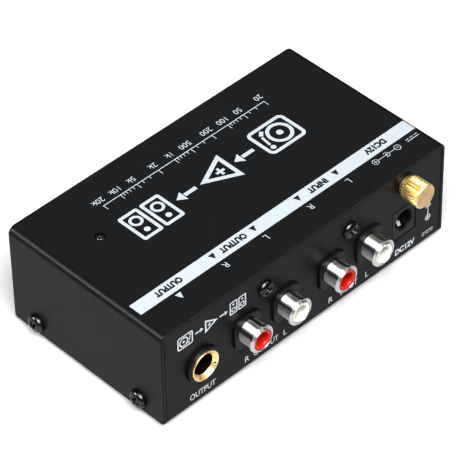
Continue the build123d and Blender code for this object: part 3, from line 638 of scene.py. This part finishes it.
# ---------------------------------------------------------------------------
# Feet
# ---------------------------------------------------------------------------
def feet():
    bits = []
    for x, y in FEET:
        sec = soften([(0.0, 1.6), (0.0, 3.65), (0.35, 3.85), (FOOT_H - 0.02, 4.0), (FOOT_H - 0.02, 0.0)], [0.1, 0.35, 0.2, 0.1, 0], 4, closed=False)
        sec = [(0.55, 0.0), (0.55, 1.15), (0.45, 1.3), (0.12, 1.5)] + [p for p in sec if p[1] > 0] + [(FOOT_H - 0.02, 0.0)]
        v, f = rings_mesh(sec, up_place(x, y), 64, False)
        o = loose("foot", v, f)
        bits.append(o.data.copy())
        bpy.data.objects.remove(o)
    finish_piece("rubber_feet_piece", joined(bits), RUBBER, "root", 35, ("rubber_feet",))


feet()

# ---------------------------------------------------------------------------
# Power light: clear domed lens over its lead frame
# ---------------------------------------------------------------------------
dome = [(ZT - 5.8, 0), (ZT - 5.8, 1.8), (ZT - 5.72, 1.88), (ZT - 4.95, 1.88), (ZT - 4.85, 1.8), (ZT - 4.82, 1.52), (ZT - 4.7, 1.5)]
dome += [(ZT - 1.6 + 1.5 * sin(t * pi / 24), 1.5 * cos(t * pi / 24)) for t in range(0, 12)] + [(ZT - 0.1, 0)]
turn("power_light_lens", dome, up_place(X_LED, Y_LED), LENS, seg=64, closed=False, slot="led_lens", replaces=("power_led",))
cup = soften([(ZT - 4.6, 0.0), (ZT - 4.6, 0.55), (ZT - 3.1, 0.62), (ZT - 2.85, 0.8), (ZT - 2.6, 0.8), (ZT - 2.95, 0.35), (ZT - 2.95, 0.0)], [0, 0.05, 0.05, 0.05, 0.05, 0.05, 0], 3, closed=False)
turn("power_light_cup", cup, up_place(X_LED - 0.35, Y_LED), NICKEL_Z, seg=32, closed=False, slot="nickel_plate")


# ---------------------------------------------------------------------------
# Printing. Shapes are drawn flat as (right, up) in millimetres and laid on a face with a thin, closed film.
# ---------------------------------------------------------------------------
TOP = Matrix(((-1, 0, 0, 0), (0, -1, 0, YC * MM), (0, 0, 1, ZT * MM), (0, 0, 0, 1)))
PANEL = Matrix(((1, 0, 0, 0), (0, 0, -1, (YF + RECESS) * MM), (0, 1, 0, Z0 * MM), (0, 0, 0, 1)))


class Print:
    def __init__(self, low, high):
        self.low, self.high = low, high
        self.bm = bmesh.new()

    def _prism(self, outer, inner=None):
        """A flat plate with an outline, and an inner outline with as many points if it has a hole."""
        bm = self.bm
        rows = []
        for loop in (outer, inner) if inner else (outer,):
            rows.append([[bm.verts.new((x * MM, y * MM, z * MM)) for x, y in loop] for z in (self.low, self.high)])
        n = len(outer)
        for lo, hi in rows:
            for i in range(n):
                k = (i + 1) % n
                bm.faces.new((lo[i], lo[k], hi[k], hi[i]))
        if inner:
            (a, b), (c, d) = rows
            for p, q in ((a, c), (b, d)):
                for i in range(n):
                    k = (i + 1) % n
                    bm.faces.new((p[i], p[k], q[k], q[i]))
        else:
            for loop in rows[0]:
                bm.faces.new(loop)

    def poly(self, *pts):
        self._prism(list(pts))

    def bar(self, x0, y0, x1, y1, w):
        d = Vector((x1 - x0, y1 - y0)).normalized()
        n = Vector((-d.y, d.x)) * w / 2
        self._prism([(x0 - n.x, y0 - n.y), (x1 - n.x, y1 - n.y), (x1 + n.x, y1 + n.y), (x0 + n.x, y0 + n.y)])

    def strip(self, xs, y0, y1):
        """A closed band from xs[0] to xs[-1] with a row of corners at each x."""
        rows = [[self.bm.verts.new((x * MM, y * MM, z * MM)) for y, z in ((y0, self.low), (y1, self.low), (y1, self.high), (y0, self.high))] for x in xs]
        for a, b in zip(rows, rows[1:]):
            for i in range(4):
                k = (i + 1) % 4
                self.bm.faces.new((a[i], a[k], b[k], b[i]))
        self.bm.faces.new(rows[0])
        self.bm.faces.new(rows[-1])

    def disc(self, x, y, r, n=48):
        self._prism([(x + r * cos(2 * pi * i / n), y + r * sin(2 * pi * i / n)) for i in range(n)])

    def ring(self, x, y, r, w, n=64):
        c = [(cos(2 * pi * i / n), sin(2 * pi * i / n)) for i in range(n)]
        self._prism([(x + r * a, y + r * b) for a, b in c], [(x + (r - w) * a, y + (r - w) * b) for a, b in c])

    def frame(self, x0, y0, x1, y1, w, r=0.0, n=8):
        def loop(d):
            q = max(r - d, 0.02)
            out = []
            for cx, cy, s in ((x1 - d - q, y1 - d - q, 0), (x0 + d + q, y1 - d - q, 1), (x0 + d + q, y0 + d + q, 2), (x1 - d - q, y0 + d + q, 3)):
                for i in range(n + 1):
                    t = (s + i / n) * pi / 2
                    out.append((cx + q * cos(t), cy + q * sin(t)))
            return out
        self._prism(loop(0), loop(w))

    def triangle(self, x, y, w, h):
        """Points up, centred on its middle."""
        self.poly((x - w / 2, y - h / 2), (x + w / 2, y - h / 2), (x, y + h / 2))

    def text(self, s, x, y, cap, width=None, bold=0.0, slant=0.0):
        """Text centred at x with its capitals centred at y."""
        cu = bpy.data.curves.new("t", "FONT")
        cu.body, cu.size, cu.align_x = s, 1.0, "LEFT"
        cu.resolution_u = 6
        cu.offset = bold
        cu.shear = slant
        cu.fill_mode = "BOTH"
        o = bpy.data.objects.new("t", cu)
        bpy.context.scene.collection.objects.link(o)
        me = solid_of(o)
        bpy.data.objects.remove(o)
        vs = [v.co.copy() for v in me.vertices]
        lo = Vector((min(v.x for v in vs), min(v.y for v in vs)))
        hi = Vector((max(v.x for v in vs), max(v.y for v in vs)))
        cap_em = 0.729 + 2 * bold  # capital height of the built-in font
        ky = cap / cap_em
        kx = (width / (hi.x - lo.x)) if width else ky
        mid = (lo.x + hi.x) / 2
        face = bmesh.new()
        face.from_mesh(me)
        bmesh.ops.remove_doubles(face, verts=face.verts, dist=1e-5)
        for v in face.verts:
            v.co = Vector(((x + (v.co.x - mid) * kx) * MM, (y + (v.co.y + bold - cap_em / 2) * ky) * MM, self.low * MM))
        got = bmesh.ops.extrude_face_region(face, geom=face.faces[:] + face.edges[:] + face.verts[:])
        for v in got["geom"]:
            if isinstance(v, bmesh.types.BMVert):
                v.co.z = self.high * MM
        out = bpy.data.meshes.new("t")
        face.to_mesh(out)
        face.free()
        self.bm.from_mesh(out)

    def lay(self, name, matrix, mat):
        me = bpy.data.meshes.new(name)
        self.bm.to_mesh(me)
        self.bm.free()
        me.transform(matrix)
        if matrix is TOP:
            flat = W / 2 - R_BEND
            for v in me.vertices:
                over = abs(v.co.x) / MM - flat
                if over > 0:
                    v.co.z -= (R_BEND - sqrt(R_BEND ** 2 - over ** 2)) * MM
        return finish_piece(name, me, mat, "root", 30, (), merge=1e-8)


def signal_chain(p, x, y, k):
    """Record player, amplifier and two loudspeakers joined by arrows, centred at (x, y), k times 61 mm wide and 11.2 mm high."""
    X = lambda v: x + v * k
    Y = lambda v: y + v * k
    p.frame(X(-30.5), Y(-5.6), X(-16.8), Y(5.6), 1.15 * k, 1.9 * k)
    p.ring(X(-24.9), Y(0), 4.0 * k, 1.15 * k)
    p.disc(X(-24.9), Y(0), 1.05 * k)
    p.disc(X(-19.4), Y(3.1), 0.85 * k)
    p.bar(X(-19.4), Y(1.9), X(-19.9), Y(-1.9), 0.85 * k)
    p.bar(X(-20.05), Y(-2.3), X(-21.5), Y(-3.7), 1.25 * k)
    for s, e in ((-14.9, -10.6), (6.6, 10.9)):
        p.bar(X(s), Y(0), X(e), Y(0), 1.3 * k)
        p.poly((X(e + 0.25), Y(-1.9)), (X(e + 3.0), Y(0)), (X(e + 0.25), Y(1.9)))
    outer = [(-6.3, -5.6), (5.2, 0.0), (-6.3, 5.6)]
    inner = [(-4.95, -3.45), (2.15, 0.0), (-4.95, 3.45)]
    p._prism([(X(a), Y(b)) for a, b in outer], [(X(a), Y(b)) for a, b in inner])
    p.bar(X(-3.9), Y(0), X(-0.9), Y(0), 0.9 * k)
    p.poly((X(-2.85), Y(0.5)), (X(-1.95), Y(0.5)), (X(-1.95), Y(1.5)), (X(-2.85), Y(1.5)))
    p.poly((X(-2.85), Y(-1.5)), (X(-1.95), Y(-1.5)), (X(-1.95), Y(-0.5)), (X(-2.85), Y(-0.5)))
    for s in (15.6, 23.4):
        p.frame(X(s), Y(-5.6), X(s + 7.0), Y(5.6), 1.1 * k, 0.9 * k)
        p.ring(X(s + 3.5), Y(-1.75), 2.05 * k, 0.9 * k)
        p.disc(X(s + 3.5), Y(2.6), 0.95 * k)


def dc_mark(p, x, y, w=4.4):
    p.bar(x - w / 2, y + 0.42, x + w / 2, y + 0.42, 0.30)
    d = w / 3.9
    for i in (-1, 0, 1):
        p.bar(x + i * d * 1.45 - d / 2, y - 0.38, x + i * d * 1.45 + d / 2, y - 0.38, 0.30)


def polarity(p, pts, r=1.07, w=0.22):
    """Barrel polarity mark: minus, sleeve and plus signs joined in a row. pts are the three centres."""
    (ax, ay), (bx, by), (cx, cy) = pts
    d = Vector((cx - ax, cy - ay)).normalized()
    n = Vector((-d.y, d.x))
    p.ring(ax, ay, r, w)
    p.bar(ax - 0.55, ay, ax + 0.55, ay, w)
    p.ring(cx, cy, r, w)
    p.bar(cx - 0.55, cy, cx + 0.55, cy, w)
    p.poly((cx - w / 2, cy + w / 2), (cx + w / 2, cy + w / 2), (cx + w / 2, cy + 0.55), (cx - w / 2, cy + 0.55))
    p.poly((cx - w / 2, cy - 0.55), (cx + w / 2, cy - 0.55), (cx + w / 2, cy - w / 2), (cx - w / 2, cy - w / 2))
    # open sleeve ring with a dot
    m = 40
    a0 = atan2(d.y, d.x)
    arc = [a0 + radians(48) + (2 * pi - radians(96)) * i / m for i in range(m + 1)]
    p._prism([(bx + r * 0.95 * cos(t), by + r * 0.95 * sin(t)) for t in arc] + [(bx + (r * 0.95 - w) * cos(t), by + (r * 0.95 - w) * sin(t)) for t in reversed(arc)])
    p.disc(bx, by, 0.42, 24)
    for (sx, sy), (ex, ey), s, e in (((ax, ay), (bx, by), r + 0.02, r * 0.95 + 0.02), ((bx, by), (cx, cy), 0.46, r + 0.02)):
        p.bar(sx + d.x * s, sy + d.y * s, ex - d.x * e, ey - d.y * e, w)


FILM_Z = (-0.012, 0.018)
# top face: stripe, channel letters, arrows, DC marks, signal chain, frequency scale
top = Print(*FILM_Z)
top.strip([-51.7, -51.55, -51.4, -51.25, -51.1, -50.95, -50.8, -50.65, 50.65], 14.95, 19.55)
for s, x in (("L", 23.2), ("R", 8.8), ("L", -7.8), ("R", -22.6)):
    top.text(s, -x, 21.7, 2.15, bold=0.004)
top.triangle(38.7, 21.55, 2.1, 2.3)
dc_mark(top, -48.1, 21.5)
polarity(top, [(-42.3, 21.5), (-38.1, 21.5), (-33.8, 21.5)])
signal_chain(top, 0.5, -5.45, 1.0)
base_t = -17.6
top.bar(-30.6, base_t, 29.6, base_t, 0.32)
span = lambda f: -30.4 + 59.8 * (log10(f) - log10(20)) / 3
for dec in (10, 100, 1000, 10000):
    for q in range(1, 10):
        f = q * dec
        if 20 <= f <= 20000:
            top.bar(span(f), base_t + 0.2, span(f), base_t + (1.9 if q in (1, 2, 5) else 1.1), 0.26)
for f, s in ((20, "20"), (50, "50"), (100, "100"), (200, "200"), (500, "500"), (1000, "1k"), (2000, "2k"), (5000, "5k"), (10000, "10k"), (20000, "20k")):
    top.text(s, span(f), base_t - 2.2, 2.0, bold=0.008)
top.lay("top_print_white", TOP, WHITE_INK)

stripe = Print(0.006, 0.032)
for s, x, w in (("OUTPUT", -38.7, 9.2), ("OUTPUT", -15.4, 9.1), ("INPUT", 16.1, 6.8), ("DC12V", 38.2, 7.6)):
    stripe.text(s, -x, 17.1, 2.2, width=w, bold=0.05)
for x in (23.2, 8.8, -7.8, -22.6):
    stripe.triangle(-x, 17.0, 1.9, 2.1)
stripe.lay("top_print_black", TOP, BLACK_INK)

# connector panel
front = Print(*FILM_Z)
front.text("OUTPUT", -38.75, 3.2, 2.15, width=9.3, bold=0.012)
front.text("OUTPUT", -15.45, 3.15, 2.1, width=9.2, bold=0.012)
front.text("INPUT", 16.15, 3.1, 2.1, width=6.7, bold=0.012)
for s, x in (("R", -22.5), ("L", -8.3), ("R", 9.1), ("L", 23.2)):
    front.text(s, x, 3.15, 2.2, bold=0.014)
front.text("DC12V", 38.2, 3.25, 2.25, width=7.8, bold=0.045)
dc_mark(front, 47.2, 2.95)
polarity(front, [(47.2, 16.85), (47.2, 12.6), (47.2, 8.35)], w=0.36)
signal_chain(front, -34.9, 25.2, 0.405)
front.lay("panel_print_white", PANEL, PANEL_INK)

# ---------------------------------------------------------------------------
# Floor, light and camera
# ---------------------------------------------------------------------------
me = bpy.data.meshes.new("floor")
bm = bmesh.new()
bmesh.ops.create_grid(bm, x_segments=8, y_segments=8, size=0.15)
bm.to_mesh(me)
bm.free()
floor_obj = bpy.data.objects.new("floor", me)
bpy.context.scene.collection.objects.link(floor_obj)
me.materials.append(FLOOR)


def area(name, direction, distance, size, power, colour=(1, 1, 1), target=(0, 0.0, 0.015)):
    li = bpy.data.lights.new(name, "AREA")
    li.shape = "RECTANGLE"
    li.size, li.size_y = size
    li.energy = power
    li.color = colour
    o = bpy.data.objects.new(name, li)
    d = Vector(direction).normalized()
    o.location = Vector(target) + d * distance
    o.rotation_mode = "QUATERNION"
    o.rotation_quaternion = d.to_track_quat("Z", "Y")
    bpy.context.scene.collection.objects.link(o)
    return o


area("key", (-0.34, -0.62, 0.90), 1.3, (1.15, 0.9), 34)
area("side", (-0.70, 0.51, 0.50), 1.0, (0.30, 0.42), 8)
area("strip", (0.507, -0.50, 0.70), 1.0, (0.16, 0.16), 1.5)
area("sheen", (0.507, 0.53, 0.68), 1.4, (0.9, 0.9), 2.2)
sun = bpy.data.lights.new("sky", "SUN")
sun.energy, sun.angle = 1.5, radians(60)
so = bpy.data.objects.new("sky", sun)
so.rotation_mode = "QUATERNION"
so.rotation_quaternion = Vector((-0.25, -0.45, 1.0)).to_track_quat("Z", "Y")
bpy.context.scene.collection.objects.link(so)

world = bpy.data.worlds.new("studio")
bpy.context.scene.world = world
world.use_nodes = True
bg = world.node_tree.nodes["Background"]
bg.inputs[0].default_value = (0.92, 0.95, 1.0, 1)
bg.inputs[1].default_value = 0.05
wall = world.node_tree.nodes.new("ShaderNodeBackground")
wall.inputs[0].default_value = (1, 1, 1, 1)
seen = world.node_tree.nodes.new("ShaderNodeLightPath")
both = world.node_tree.nodes.new("ShaderNodeMixShader")
world.node_tree.links.new(seen.outputs["Is Camera Ray"], both.inputs[0])
world.node_tree.links.new(bg.outputs[0], both.inputs[1])
world.node_tree.links.new(wall.outputs[0], both.inputs[2])
world.node_tree.links.new(both.outputs[0], world.node_tree.nodes["World Output"].inputs[0])

az, el, roll = radians(-43.6963), radians(42.8209), radians(-1.0676)
back = Vector((sin(az) * cos(el), -cos(az) * cos(el), sin(el)))
fwd = -back
right = fwd.cross(Vector((0, 0, 1))).normalized()
up = right.cross(fwd)
cx = right * cos(roll) + up * sin(roll)
cy = -right * sin(roll) + up * cos(roll)
pos = back * (7.8891 * W) + cx * (-0.0030 * W) + cy * (0.1080 * W) + Vector((0, YC, Z0))
cam = bpy.data.cameras.new("camera")
cam.sensor_width = 36.0
cam.lens = 3057.49 * 36.0 / 460.0
cam.clip_start, cam.clip_end = 0.05, 20
co = bpy.data.objects.new("camera", cam)
m = Matrix((cx, cy, back)).transposed().to_4x4()
m.translation = pos * MM
co.matrix_world = m
bpy.context.scene.collection.objects.link(co)
bpy.context.scene.camera = co
bpy.context.scene.view_settings.view_transform = "Standard"
bpy.context.scene.view_settings.gamma = 0.7
